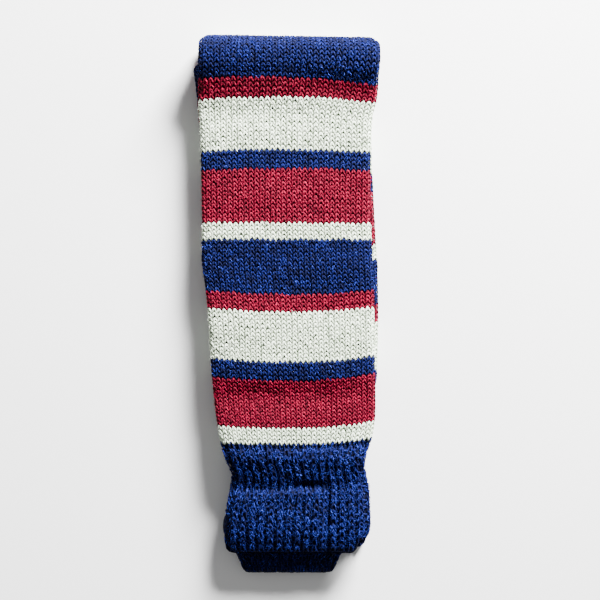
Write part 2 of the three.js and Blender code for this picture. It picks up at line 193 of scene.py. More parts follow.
INNER_EDGES = [
    {"y": -192, "left": -32.0, "right": 34.2},
    {"y": -186, "left": -32.8, "right": 35.0},
    {"y": -178, "left": -36.0, "right": 38.3},
    {"y": -174, "left": -37.4, "right": 40.6},
    {"y": -165, "left": -40.5, "right": 46.5},
    {"y": -155, "left": -41.5, "right": 50.5},
    {"y": -140, "left": -39.6, "right": 53.0},
    {"y": -127, "left": -37.5, "right": 53.0},
    {"y": -118, "left": -37.6, "right": 52.3},
    {"y": -110.4, "left": -40.5, "right": 53.5},
    {"y": -98, "left": -44.0, "right": 57.3},
    {"y": -82, "left": -47.5, "right": 60.3},
    {"y": -67, "left": -49.5, "right": 61.4},
    {"y": -57, "left": -50.6, "right": 63.2},
    {"y": -37, "left": -52.5, "right": 63.8},
    {"y": -14, "left": -53.5, "right": 64.4},
    {"y": 27, "left": -58.2, "right": 63.9},
    {"y": 58, "left": -58.5, "right": 62.1},
    {"y": 120, "left": -61.2, "right": 59.5},
    {"y": 136, "left": -62.6, "right": 60.0},
    {"y": 148, "left": -63.8, "right": 61.4},
    {"y": 158, "left": -65.0, "right": 62.0},
    {"y": 167, "left": -65.6, "right": 62.3},
    {"y": 170.5, "left": -61.5, "right": 62.4},
    {"y": 180, "left": -60.0, "right": 62.0},
    {"y": 195, "left": -58.0, "right": 60.0},
]


def smoothstep(low, high, value):
    t = np.clip((value - low) / (high - low), 0, 1)
    return t * t * (3 - 2 * t)


def read(table, column, y):
    """Smooth reading of one column of a table at y."""
    places = np.array([row["y"] for row in table], float)
    values = np.array([row[column] for row in table], float)
    before = np.maximum(np.arange(len(table)) - 1, 0)
    after = np.minimum(np.arange(len(table)) + 1, len(table) - 1)
    slopes = (values[after] - values[before]) / (places[after] - places[before])
    y = np.clip(y, places[0], places[-1])
    i = np.clip(np.searchsorted(places, y, side="right") - 1, 0, len(table) - 2)
    span = places[i + 1] - places[i]
    t = (y - places[i]) / span
    rise = values[i + 1] - values[i]
    bend = t * (1 - t) ** 2 * slopes[i] * span - t**2 * (1 - t) * slopes[i + 1] * span
    return values[i] + rise * t - rise * t * (1 - t) * (1 - 2 * t) + bend


def layer_heights(layer, y):
    """Lowest and highest z of one layer of the pile at y."""
    top = read(PILE, "top", y)
    outer = top * OUTER_SHARE
    drop = INNER_DROP * (1 - smoothstep(*DROP_STRETCH, y))
    if layer == "outer_back":
        return np.zeros_like(top), outer
    if layer == "inner_back":
        return outer + LAYER_GAP - drop, top / 2 - LAYER_GAP - drop
    if layer == "inner_front":
        return top / 2 + LAYER_GAP / 2 - drop, top - outer - LAYER_GAP - drop
    return top - outer, top


def settle(x, y, z):
    """The slant of the fold and the lower long edges, given to every point of the pile; metres."""
    left = read(OUTER_EDGES, "left", y)
    right = read(OUTER_EDGES, "right", y)
    side = (x - (left + right) / 2) / ((right - left) / 2)
    most = CUFF_DROOP + (SIDE_DROOP - CUFF_DROOP) * smoothstep(*CUFF_STRETCH, y)
    droop = 1 - most * (1 - smoothstep(*FOLD_STRETCH, y)) * np.minimum(side**2, 1.2) ** 2
    slant = FOLD_SLANT * (x + HALF_WIDTH) * smoothstep(*SLANT_STRETCH, y)
    return np.stack([x, y - slant, z * droop], axis=-1) * MM


# Legs, the cloth
# Each leg is a seamless tube of stockinette, knitted in the round from three colours of soft acrylic yarn and
# pressed flat. This wall is the body of the cloth behind its stitches, and both its plies are there.
COLUMNS = 64
ROWS = 196
GRID_ROW = 0.5
GRID_COLUMNS = 4
OUTER_ROUND = 5.0
HIDDEN_ROUND = 1.8
EDGE_DEPTH = 0.55  # where a tube is widest, as a share of its thickness from its outer face
CORNER_INSET = 4.4  # rounding of the fold's two corners
CLOTH_RECESS = 1.0
CLOTH_WALL = 0.9
# Painted shade: the cloth wall seen in the gaps between the stitches is tinted this much darker than its yarn
CLOTH_PAINTED_SHADE = -0.14
STRIPES = [("cream", 4), ("crimson", 12), ("navy", 4), ("cream", 12), ("crimson", 4), ("navy", 12)]
YARNS = ["navy", "crimson", "cream"]

LEGS = {
    "outer": {
        "seam": OUTER_SEAM_Y, "edges": OUTER_EDGES, "layers": ("outer_front", "outer_back"),
        "row_ends": [
            (-2, -104.4), (0, -98.4), (4, -86.4), (16, -54.0), (20, -40.6), (32, -3.9), (36, 6.7),
            (48, 45.5), (52, 57.5), (64, 95.9), (68, 108.7), (80, 146.9), (84, 160.2),
        ],
        "front_rows": 89.6, "fold_rows": 13.0, "back_inset": 0.8,
    },
    "inner": {
        "seam": INNER_SEAM_Y, "edges": INNER_EDGES, "layers": ("inner_front", "inner_back"),
        "row_ends": [
            (-2, -116.4), (0, -110.4), (4, -98.4), (16, -61.7), (20, -50.6), (32, -15.0), (36, -3.2),
            (48, 31.4), (52, 42.3), (64, 80.8), (68, 93.6), (80, 132.0), (84, 145.0),
        ],
        "front_rows": 94.0, "fold_rows": 6.4, "back_inset": 1.0,
    },
}
# The rows run unevenly across the front: how far a row lies above its place at the left, middle and right.
# Here y counts rows.
WAVER = [
    {"y": -2, "left": 0.0, "middle": 0.0, "right": 3.5},
    {"y": 4, "left": 1.0, "middle": -0.9, "right": 3.5},
    {"y": 16, "left": 3.4, "middle": 0.0, "right": 4.9},
    {"y": 20, "left": 2.8, "middle": -0.7, "right": 3.2},
    {"y": 32, "left": 2.1, "middle": -1.4, "right": 2.1},
    {"y": 36, "left": 2.8, "middle": 0.0, "right": 2.8},
    {"y": 48, "left": 0.0, "middle": 0.0, "right": 0.0},
    {"y": 80, "left": -2.2, "middle": 0.0, "right": -3.6},
    {"y": 84, "left": -1.1, "middle": 0.3, "right": -4.3},
    {"y": 91, "left": 0.0, "middle": 0.0, "right": 0.0},
]
# Soft troughs and ridges in the upper cloth: centre, reach and lift
LEG_RELIEF = [
    {"x": -12, "y": -65, "reach_x": 44, "reach_y": 11, "lift": -2.6},
    {"x": 40, "y": -64, "reach_x": 20, "reach_y": 10, "lift": -1.6},
    {"x": 4, "y": -44, "reach_x": 50, "reach_y": 12, "lift": 0.7},
    {"x": 40, "y": 156, "reach_x": 28, "reach_y": 9, "lift": -1.3},
    {"x": -30, "y": 60, "reach_x": 20, "reach_y": 9, "lift": -0.9},
    {"x": 40, "y": -6, "reach_x": 24, "reach_y": 11, "lift": -0.9},
    {"x": -40, "y": -18, "reach_x": 26, "reach_y": 12, "lift": 0.8},
    {"x": 44, "y": 30, "reach_x": 20, "reach_y": 7, "lift": 0.5},
    {"x": -22, "y": 24, "reach_x": 14, "reach_y": 6, "lift": -0.4},
    {"x": 0, "y": 50, "reach_x": 70, "reach_y": 13, "lift": 1.1},
    {"x": 4, "y": 8, "reach_x": 70, "reach_y": 13, "lift": -1.5},
    {"x": 8, "y": 96, "reach_x": 38, "reach_y": 14, "lift": -0.6},
    {"x": -36, "y": 122, "reach_x": 22, "reach_y": 8, "lift": 0.4},
    {"x": 0, "y": 134, "reach_x": 74, "reach_y": 9, "lift": -1.1},
    {"x": 0, "y": 157, "reach_x": 74, "reach_y": 9, "lift": 0.8},
    {"x": 0, "y": -94, "reach_x": 52, "reach_y": 9, "lift": 0.5},
]


def relief(table, x, y):
    lift = np.zeros_like(x)
    for fold in table:
        across = ((x - fold["x"]) / fold["reach_x"]) ** 2
        along = ((y - fold["y"]) / fold["reach_y"]) ** 2
        lift += fold["lift"] * np.exp(-(across**2) - along)
    return lift


def tube_section(left, right, thickness, count):
    """Places spaced evenly round a pressed tube, from the middle of its left edge along its outer face: x and
    depth, which is 0 at the outer face and 1 at the hidden one."""
    turn = np.linspace(0, math.pi / 2, 16)
    corners = [
        (left + OUTER_ROUND * (1 - np.cos(turn)), EDGE_DEPTH * (1 - np.sin(turn))),
        (right - OUTER_ROUND * (1 - np.sin(turn)), EDGE_DEPTH * (1 - np.cos(turn))),
        (right - HIDDEN_ROUND * (1 - np.cos(turn)), EDGE_DEPTH + (1 - EDGE_DEPTH) * np.sin(turn)),
        (left + HIDDEN_ROUND * (1 - np.sin(turn)), EDGE_DEPTH + (1 - EDGE_DEPTH) * np.cos(turn)),
    ]
    x = np.concatenate([c[0] for c in corners])
    depth = np.concatenate([c[1] for c in corners])
    along = np.concatenate([[0], np.cumsum(np.hypot(np.diff(x), np.diff(depth) * thickness))])
    wanted = np.linspace(0, along[-1], count, endpoint=False)
    return np.interp(wanted, along, x), np.interp(wanted, along, depth)


def leg_stations(leg, rows):
    """For each row: the outer and hidden faces in the YZ plane, and the two edges."""
    ends = np.array(leg["row_ends"] + [(leg["front_rows"], FOLD_Y)])
    fold_end = leg["front_rows"] + leg["fold_rows"]
    front_y = np.interp(rows, ends[:, 0], ends[:, 1])
    slope = (ends[1, 1] - ends[0, 1]) / (ends[1, 0] - ends[0, 0])
    front_y = np.where(rows < ends[0, 0], ends[0, 1] + (rows - ends[0, 0]) * slope, front_y)
    angle = np.clip((rows - leg["front_rows"]) / leg["fold_rows"], 0, 1) * math.pi
    back_pitch = (FOLD_Y - leg["seam"]) / (ROWS - fold_end)
    back_y = FOLD_Y - (rows - fold_end) * back_pitch
    on_front, on_back = rows <= leg["front_rows"], rows >= fold_end
    front_low, front_high = layer_heights(leg["layers"][0], front_y)
    back_low, back_high = layer_heights(leg["layers"][1], back_y)
    fold_low, fold_high = layer_heights(leg["layers"][0], np.array(FOLD_Y))
    middle = FOLD_HEIGHT / 2
    faces = []
    for radius, front_z, back_z in (
        (fold_high - middle, front_high, back_low),
        (fold_low - middle, front_low, back_high),
    ):
        y = np.where(on_front, front_y, np.where(on_back, back_y, FOLD_Y + radius * np.sin(angle)))
        z = np.where(on_front, front_z, np.where(on_back, back_z, middle + radius * np.cos(angle)))
        faces.append((y, z))
    edge_y = np.where(on_front, front_y, np.where(on_back, back_y, FOLD_Y))
    at_corner = CORNER_INSET * np.sin(angle) ** 8
    inset = np.where(on_back, leg["back_inset"], at_corner + leg["back_inset"] * angle / math.pi)
    left = read(leg["edges"], "left", edge_y) + inset
    right = read(leg["edges"], "right", edge_y) - inset
    return faces, left, right


class Surface:
    """A grid of points round a tube's form, read at any row and column, with a height above it in mm."""

    def __init__(self, points, first_row, row_step, column_step):
        self.points, self.first_row = points, first_row
        self.row_step, self.column_step = row_step, column_step
        along = np.gradient(points, axis=0)
        ring = np.concatenate([points[:, -1:], points, points[:, :1]], axis=1)
        across = (ring[:, 2:] - ring[:, :-2]) / 2
        normals = np.cross(across, along)
        self.normals = normals / np.maximum(np.linalg.norm(normals, axis=-1, keepdims=True), 1e-12)

    def at(self, row, column, height):
        r = np.clip((row - self.first_row) / self.row_step, 0, self.points.shape[0] - 1.001)
        count = self.points.shape[1]
        c = np.mod(column / self.column_step, count)
        r0, c0 = np.floor(r).astype(int), np.floor(c).astype(int)
        fr, fc = (r - r0)[..., None], (c - c0)[..., None]
        c0 = np.mod(c0, count)
        c1 = np.mod(c0 + 1, count)
        out = []
        for grid in (self.points, self.normals):
            low = grid[r0, c0] * (1 - fc) + grid[r0, c1] * fc
            high = grid[r0 + 1, c0] * (1 - fc) + grid[r0 + 1, c1] * fc
            out.append(low * (1 - fr) + high * fr)
        return out[0] + out[1] * np.asarray(height)[..., None] * MM


def leg_surface(leg):
    rows = np.arange(-3, ROWS + 3 + GRID_ROW / 2, GRID_ROW)
    faces, left, right = leg_stations(leg, rows)
    thickness = np.hypot(faces[0][0] - faces[1][0], faces[0][1] - faces[1][1])
    count = COLUMNS * GRID_COLUMNS
    sections = [tube_section(left[i], right[i], thickness[i], count) for i in range(len(rows))]
    x = np.array([s[0] for s in sections])
    depth = np.array([s[1] for s in sections])
    y = faces[0][0][:, None] + (faces[1][0] - faces[0][0])[:, None] * depth
    z = faces[0][1][:, None] + (faces[1][1] - faces[0][1])[:, None] * depth
    row = np.broadcast_to(rows[:, None], x.shape)
    share = np.clip(x / HALF_WIDTH, -1, 1)
    sides = np.where(share < 0, read(WAVER, "left", row), read(WAVER, "right", row))
    waver = read(WAVER, "middle", row) + (sides - read(WAVER, "middle", row)) * share**2
    y = y + waver * (row < WAVER[-1]["y"])
    if leg["layers"][0] == "outer_front":
        z = z + relief(LEG_RELIEF, x, y) * (1 - depth) * (row < leg["front_rows"])
    return Surface(settle(x, y, z), rows[0], GRID_ROW, 1 / GRID_COLUMNS)


def stripe_of(row):
    """Index in YARNS of the colour that a row is knitted in."""
    order = [YARNS.index(name) for name, count in STRIPES for _ in range(count)]
    return np.array(order)[np.mod(np.clip(row, 0, ROWS - 1), len(order)).astype(int)]


# Soft acrylic yarn
# Worsted-spun acrylic that sheds loose fibres. It is matt, with a pale nap that shows at its edges, slightly
# uneven dye, and a twist that shows as fine slanted lines along each stitch: bumps, with painted highlights
# and shade in the colour. Pale streaks along the fibres are painted highlights too.
# Each yarn's colour stops: the darkest is where the painted shade between stitches takes it, the middle one
# is the yarn's own dye, and the two pale ones are painted highlights of fibres and twist catching the light.
# The nap is the weight of the shader's sheen.
YARN_COLOURS_AND_PAINTED_LIGHT = {
    "navy": {"deep": "#030518", "dye": "#070a28", "fibre_highlight": "#0e1961", "painted_highlight": "#4c66e2", "nap": 0.025},
    "crimson": {"deep": "#1e030a", "dye": "#520418", "fibre_highlight": "#8c062d", "painted_highlight": "#c82c58", "nap": 0.04},
    "cream": {"deep": "#5e6b59", "dye": "#bfccb4", "fibre_highlight": "#f3fbec", "painted_highlight": "#fcfff8", "nap": 0.08},
}
SHADES = {"deep": 0.26, "dye": 0.5, "fibre_highlight": 0.68, "painted_highlight": 0.88}
TWIST_SCALE = 1 / 3
TWIST_HEIGHT = 0.6
FIBRE_ANGLE = 0.45
FIBRE_LENGTH = 2.4
FIBRE_SPACING = 0.5
DYE_SCALE = 160.0
FIBRE_HIGHLIGHT_SHARE, TWIST_LIGHT_AND_SHADE_SHARE, DYE_SHARE = 0.62, 0.18, 0.2


def yarn_material(name):
    material = new_material(f"{name}_acrylic_yarn")
    yarn_colours_and_light = YARN_COLOURS_AND_PAINTED_LIGHT[name]
    place = add_node(material, "ShaderNodeTexCoord")
    tint = add_node(material, "ShaderNodeAttribute", {"attribute_name": "tint"})
    along_fibres = add_node(
        material, "ShaderNodeMapping",
        inputs={"Rotation": (0, 0, FIBRE_ANGLE), "Scale": (1 / FIBRE_LENGTH, 1 / FIBRE_SPACING, 1)},
        links={"Vector": place.outputs["UV"]},
    )
    fibres = add_node(
        material, "ShaderNodeTexNoise", inputs={"Scale": 1.0, "Detail": 3.0, "Roughness": 0.6},
        links={"Vector": along_fibres.outputs[0]},
    )
    dye = add_node(
        material, "ShaderNodeTexNoise", inputs={"Scale": DYE_SCALE, "Detail": 2.0},
        links={"Vector": place.outputs["Object"]},
    )
    twist = add_node(
        material, "ShaderNodeTexWave", {"bands_direction": "DIAGONAL"},
        inputs={"Scale": TWIST_SCALE, "Distortion": 0.6, "Detail": 1.0},
        links={"Vector": place.outputs["UV"]},
    )
    # The tint with its painted shade, the fibres' painted highlights, the twist's painted light and shade,
    # and the uneven dye add up to one shade
    shade = tint.outputs["Fac"]
    parts = (fibres.outputs[0], twist.outputs["Fac"], dye.outputs[0])
    for part, share in zip(parts, (FIBRE_HIGHLIGHT_SHARE, TWIST_LIGHT_AND_SHADE_SHARE, DYE_SHARE)):
        shade = add_node(
            material, "ShaderNodeMath", {"operation": "MULTIPLY_ADD"},
            inputs={1: share}, links={0: part, 2: shade},
        ).outputs[0]
    # Ramp from the darkest, painted-shade end through the yarn's dye to its painted highlights
    ramp = add_node(material, "ShaderNodeValToRGB", links={"Fac": shade})
    stops = ramp.color_ramp.elements
    for stop, name in zip((stops[0], stops[1]), ("deep", "painted_highlight")):
        stop.position, stop.color = SHADES[name], linear(yarn_colours_and_light[name])
    for name in ("dye", "fibre_highlight"):
        stops.new(SHADES[name]).color = linear(yarn_colours_and_light[name])
    relief_height = add_node(
        material, "ShaderNodeMath", {"operation": "MULTIPLY_ADD"},
        inputs={1: TWIST_HEIGHT}, links={0: twist.outputs["Fac"], 2: fibres.outputs[0]},
    )
    bump = add_node(
        material, "ShaderNodeBump", inputs={"Strength": 0.55, "Distance": 0.25 * MM},
        links={"Height": relief_height.outputs[0]},
    )
    shader = add_node(
        material, "ShaderNodeBsdfPrincipled",
        inputs={
            "Roughness": 0.8, "Specular IOR Level": 0.06,
            "Sheen Weight": yarn_colours_and_light["nap"], "Sheen Roughness": 0.4, "Sheen Tint": linear(yarn_colours_and_light["painted_highlight"]),
        },
        links={"Base Color": ramp.outputs[0], "Normal": bump.outputs[0]},
    )
    add_node(material, "ShaderNodeOutputMaterial", links={"Surface": shader.outputs[0]})
    return material


yarn_materials = [yarn_material(name) for name in YARNS]


def cloth_wall(node, surface, rows, columns, recess, colour_of):
    """A tube of cloth made from a grid: wrapped round the surface, joined along its side and given a wall."""
    shape = bmesh.new()
    bmesh.ops.create_grid(shape, x_segments=len(columns) - 1, y_segments=len(rows) - 1, size=0.5)
    shape.verts.ensure_lookup_table()
    flat = np.array([v.co[:2] for v in shape.verts]) + 0.5
    column = np.interp(flat[:, 0], np.linspace(0, 1, len(columns)), columns)
    row = np.interp(flat[:, 1], np.linspace(0, 1, len(rows)), rows)
    for vert, place in zip(shape.verts, surface.at(row, column, np.full(len(row), -recess))):
        vert.co = place
    for face in shape.faces:
        face.smooth = True
        face.material_index = int(colour_of(np.mean([row[v.index] for v in face.verts])))
    bmesh.ops.remove_doubles(shape, verts=shape.verts, dist=1e-6)
    bmesh.ops.recalc_face_normals(shape, faces=shape.faces)
    mesh = bpy.data.meshes.new(f"{node}_cloth")
    shape.to_mesh(mesh)
    shape.free()
    for material in yarn_materials:
        mesh.materials.append(material)
    attribute = mesh.attributes.new("tint", "FLOAT", "POINT")
    # The whole wall takes the painted shade of the gaps between the stitches
    attribute.data.foreach_set("value", np.full(len(mesh.vertices), CLOTH_PAINTED_SHADE, np.float32))
    piece = bpy.data.objects.new(f"{node}_cloth", mesh)
    bpy.context.scene.collection.objects.link(piece)
    thicken = piece.modifiers.new("wall", "SOLIDIFY")
    thicken.thickness = CLOTH_WALL * MM
    thicken.offset = -1
    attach(piece, "root")
    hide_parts(node)
    return piece


surfaces = {name: leg_surface(leg) for name, leg in LEGS.items()}
for name, surface in surfaces.items():
    cloth_wall(
        f"{name}_leg", surface, np.arange(0, ROWS + 1, 2), np.arange(0, COLUMNS + 1),
        CLOTH_RECESS, stripe_of,
    )

# Legs, the stitches
# Every stitch of the stockinette is a loop of yarn that shows as two plump legs leaning together, its point
# towards the fold. They cover the outer face and both edges; the hidden faces lie on each other.
# The way of one leg of a stitch from its foot to its point, and its half width and half height
LEG_PATH = [
    {"across": -2.12, "along": -2.55, "height": -0.85, "wide": 0.0, "tall": 0.0},
    {"across": -1.84, "along": -1.55, "height": -0.22, "wide": 0.60, "tall": 0.56},
    {"across": -1.00, "along": 0.10, "height": 0.00, "wide": 0.72, "tall": 0.66},
    {"across": -0.24, "along": 1.70, "height": -0.04, "wide": 0.60, "tall": 0.60},
    {"across": 0.14, "along": 2.60, "height": -0.65, "wide": 0.0, "tall": 0.0},
]
YARN_SIDES = 5
STITCH_WIDTH = 3.86
ROW_HEIGHT = 3.0
# Painted shade: a point's tint falls by this much for each mm that it lies below the surface of the knit
PAINTED_CREVICE_SHADE = 0.16
CHANCE_SHIFT = np.array([0.10, 0.12, 0.09])
CHANCE_SWELL = 0.05
LEG_ROW_CHANCE = 0.04
LEG_TINT = (-0.015, 0.035)  # mean and spread
UV_STEP = np.array([7.3, 3.1])  # each strand takes its pattern from another place
UV_SPAN = np.array([91, 57])
FLOOR_CLEARANCE = 0.05 * MM
FLOOR_SQUASH = 0.1


def yarn_strands(path, sides, rng, count, side_sign):
    """Offsets of the points of many short strands along one path: across, along and height, each strand with
    a little chance in place and girth. Then the pattern of one strand's faces, and its UVs."""
    centre = np.array([[p["across"], p["along"], p["height"]] for p in path])
    girth = np.array([[p["wide"], p["tall"]] for p in path])
    direction = np.gradient(centre[:, :2], axis=0)
    direction /= np.linalg.norm(direction, axis=1, keepdims=True)
    aside = np.stack([direction[:, 1], -direction[:, 0]], axis=1)
    angle = np.arange(sides) / sides * 2 * math.pi + math.pi / 2
    points, rings = [centre[0]], len(path) - 2
    for i in range(1, rings + 1):
        for a in angle:
            sideways = aside[i] * girth[i, 0] * math.cos(a)
            points.append([*(centre[i, :2] + sideways), centre[i, 2] + girth[i, 1] * math.sin(a)])
    points.append(centre[-1])
    points = np.array(points)
    middle = centre.mean(axis=0)
    shift = rng.normal(0, 1, (count, 1, 3)) * CHANCE_SHIFT
    swell = 1 + rng.normal(0, CHANCE_SWELL, (count, 1, 1))
    strands = middle + (points[None] - middle) * swell + shift
    strands = strands * np.array([side_sign, 1, 1])
    faces, marks = [], []
    length = np.concatenate([[0], np.cumsum(np.linalg.norm(np.diff(centre, axis=0), axis=1))])
    round_it = 2 * math.pi * girth.max() / sides
    last, top = len(points) - 1, 1 + (rings - 1) * sides
    for s in range(sides):
        after = (s + 1) % sides
        here, between, there = s * round_it, (s + 0.5) * round_it, (s + 1) * round_it
        faces.append((0, 1 + after, 1 + s))
        marks.append(((length[0], between), (length[1], there), (length[1], here)))
        for i in range(rings - 1):
            a, b = 1 + i * sides + s, 1 + i * sides + after
            c, d = a + sides, b + sides
            low, high = length[i + 1], length[i + 2]
            faces += [(a, b, d), (a, d, c)]
            marks.append(((low, here), (low, there), (high, there)))
            marks.append(((low, here), (high, there), (high, here)))
        faces.append((last, top + s, top + after))
        marks.append(((length[-1], between), (length[-2], here), (length[-2], there)))
    faces = np.array(faces)
    marks = np.array(marks)
    if side_sign > 0:
        return strands, faces, marks
    return strands, faces[:, ::-1], marks[:, ::-1]


def strand_piece(name, batches):
    """One mesh from batches of strands: points in metres, faces, UVs, colour indices and tints. Yarn that
    would reach below the surface that the pile lies on is pressed flat there."""
    verts, tris, uvs, colours, tints, offset = [], [], [], [], [], 0
    for points, faces, marks, colour, tint in batches:
        count, size = points.shape[:2]
        verts.append(points.reshape(-1, 3))
        tris.append((faces[None] + (np.arange(count) * size)[:, None, None] + offset).reshape(-1, 3))
        start = np.arange(count)[:, None] * UV_STEP % UV_SPAN
        uvs.append((marks.reshape(1, -1, 2) + start[:, None]).reshape(-1, 2))
        colours.append(np.repeat(colour, len(faces)))
        tints.append(tint.ravel())
        offset += count * size
    verts, tris = np.concatenate(verts), np.concatenate(tris)
    lowest = FLOOR_CLEARANCE + np.maximum(verts[:, 2], 0) * FLOOR_SQUASH
    verts[:, 2] = np.maximum(verts[:, 2], lowest)
    mesh = bpy.data.meshes.new(name)
    mesh.vertices.add(len(verts))
    mesh.vertices.foreach_set("co", verts.astype(np.float32).ravel())
    mesh.loops.add(tris.size)
    mesh.loops.foreach_set("vertex_index", tris.astype(np.int32).ravel())
    mesh.polygons.add(len(tris))
    mesh.polygons.foreach_set("loop_start", np.arange(0, tris.size, 3, dtype=np.int32))
    mesh.polygons.foreach_set("material_index", np.concatenate(colours).astype(np.int32))
    mesh.polygons.foreach_set("use_smooth", np.ones(len(tris), bool))
    mesh.update(calc_edges=True)
    layer = mesh.uv_layers.new(name="yarn")
    layer.data.foreach_set("uv", np.concatenate(uvs).astype(np.float32).ravel())
    attribute = mesh.attributes.new("tint", "FLOAT", "POINT")
    attribute.data.foreach_set("value", np.concatenate(tints).astype(np.float32))
    for material in yarn_materials:
        mesh.materials.append(material)
    piece = bpy.data.objects.new(name, mesh)
    bpy.context.scene.collection.objects.link(piece)
    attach(piece, "root")
    return piece


def uneven(row, column):
    """Hand of the knit: how far stitches sit off their even lattice, in rows and columns."""
    rows = 0.10 * np.sin(0.37 * row + 1.3 * np.sin(0.21 * column)) + 0.07 * np.sin(0.83 * column + 0.11 * row)
    columns = 0.05 * np.sin(0.29 * row + 0.7 * column) + 0.02 * np.sin(1.9 * column)
    return rows[:, None], columns[:, None]


def tint_and_painted_shade_of(strands, tint, rng):
    """Tint of every point: a little chance for each strand, and painted shade deep between the stitches."""
    return rng.normal(*tint, (len(strands), 1)) + PAINTED_CREVICE_SHADE * np.minimum(strands[..., 2], 0)


def stockinette(surface, rows, columns, rng):
    """Both legs of each stitch at the given rows and columns of a leg."""
    row, column = [grid.ravel() for grid in np.meshgrid(rows, columns, indexing="ij")]
    batches = []
    row_shift, column_shift = uneven(row, column)
    row_shift = row_shift + rng.normal(0, LEG_ROW_CHANCE, (len(row), 1))
    for side_sign in (-1, 1):
        strands, faces, marks = yarn_strands(LEG_PATH, YARN_SIDES, rng, len(row), side_sign)
        at_row = row[:, None] + 0.5 + strands[..., 1] / ROW_HEIGHT + row_shift
        at_column = column[:, None] + strands[..., 0] / STITCH_WIDTH + column_shift
        points = surface.at(at_row, at_column, strands[..., 2])
        batches.append((points, faces, marks, stripe_of(row), tint_and_painted_shade_of(strands, LEG_TINT, rng)))
    return batches


rng = np.random.default_rng(41)
OUTER_COLUMNS = np.arange(-2, 34) + 0.5
# The outer leg's stitches in three pieces, each with its first row and the row after its last
KNIT_PIECES = [("front", 0, 76), ("fold", 76, 118), ("back", 118, ROWS)]
for part, first, last in KNIT_PIECES:
    strand_piece(
        f"outer_leg_{part}_stitches",
        stockinette(surfaces["outer"], np.arange(first, last), OUTER_COLUMNS, rng),
    )
INNER_COLUMNS = np.concatenate([np.arange(-3, 3), np.arange(29, 35)]) + 0.5
strand_piece(
    "inner_leg_edge_stitches",
    stockinette(surfaces["inner"], np.arange(0, ROWS), INNER_COLUMNS, rng),
)

# Cuffs, the cloth
# Each cuff is knitted on in navy one-by-one rib, which draws in and stands in upright ribs. Its tube is
# pressed flat like the leg, and its mouth is open. The ankle cuff on top is buckled across by a crease.
RIB_COUNT = 15
RIB_DEPTH = 1.4
RIB_ROW = 4.65
CUFF_ROUND = 3.6
CUFF_RECESS = 1.2
CUFF_GRID_ROW = 0.25
CUFF_GRID_RIB = 1 / 8
MOUTH_LENGTH = 24  # stretch of a cuff that follows the line of its mouth
CORNER_FULLNESS = 0.9
VALLEY_SHARPNESS = 1.5
RIGHT_RISE_STRETCH = (46, 52.5)
SEAM_BLEND = 25  # stretch below the seam where the ribs still follow the leg's slanted rows
SEAM_GAP = 0.3
CUFFS = {
    "outer_ankle_cuff": {
        "layer": "outer_front", "edges": OUTER_EDGES, "inset": 0, "seam": OUTER_SEAM_Y,
        "upper_end": -174.2, "lower_end": -175.4, "corner": 7, "right_rise": 8, "ribs": (-1, RIB_COUNT + 2),
        "lies_on": ["inner_ankle_cuff_cloth"],
    },
    "inner_ankle_cuff": {
        "layer": "inner_front", "edges": INNER_EDGES, "inset": 0, "seam": INNER_SEAM_Y,
        "upper_end": -189.9, "lower_end": -190.4, "corner": 5.5, "right_rise": 0, "ribs": (-1, RIB_COUNT),
        "lies_on": ["inner_top_cuff_cloth"],
    },
    "inner_top_cuff": {
        "layer": "inner_back", "edges": INNER_EDGES, "inset": 1.2, "seam": INNER_SEAM_Y,
        "upper_end": -184.6, "lower_end": -185.4, "corner": 5, "right_rise": 0, "ribs": (-1, RIB_COUNT),
        "lies_on": ["outer_top_cuff_cloth"],
    },
    "outer_top_cuff": {
        "layer": "outer_back", "edges": OUTER_EDGES, "inset": 2.2, "seam": OUTER_SEAM_Y,
        "upper_end": -171.6, "lower_end": -172.6, "corner": 5, "right_rise": 0, "ribs": (-2, RIB_COUNT + 3),
        "lies_on": [],
    },
}
# Soft troughs and ridges in the upper ankle cuff: centre, reach and lift
CREASES = [
    {"x": 15, "y": -127.0, "reach_x": 12, "reach_y": 2.3, "lift": -3.1},
    {"x": -14, "y": -129.5, "reach_x": 22, "reach_y": 3.0, "lift": -1.2},
    {"x": 6, "y": -133.5, "reach_x": 20, "reach_y": 4.0, "lift": 1.0},
    {"x": -30, "y": -137.0, "reach_x": 16, "reach_y": 6.0, "lift": 0.5},
    {"x": 34, "y": -150.0, "reach_x": 8, "reach_y": 17, "lift": -1.0},
    {"x": 28, "y": -150.0, "reach_x": 3, "reach_y": 22, "lift": -1.8},
    {"x": 6, "y": -119.0, "reach_x": 46, "reach_y": 7.0, "lift": 1.7},
    {"x": -44.0, "y": -152.0, "reach_x": 7.5, "reach_y": 26, "lift": -1.2},
    {"x": -46.0, "y": -152.0, "reach_x": 7, "reach_y": 26, "lift": -2.4},
    {"x": -48.0, "y": -152.0, "reach_x": 6, "reach_y": 26, "lift": -3.0},
    {"x": -42, "y": -116.0, "reach_x": 6, "reach_y": 8, "lift": -1.6},
    {"x": 6, "y": -107.0, "reach_x": 48, "reach_y": 6, "lift": 1.3},
    {"x": 6, "y": -170.0, "reach_x": 50, "reach_y": 9, "lift": -0.7},
]


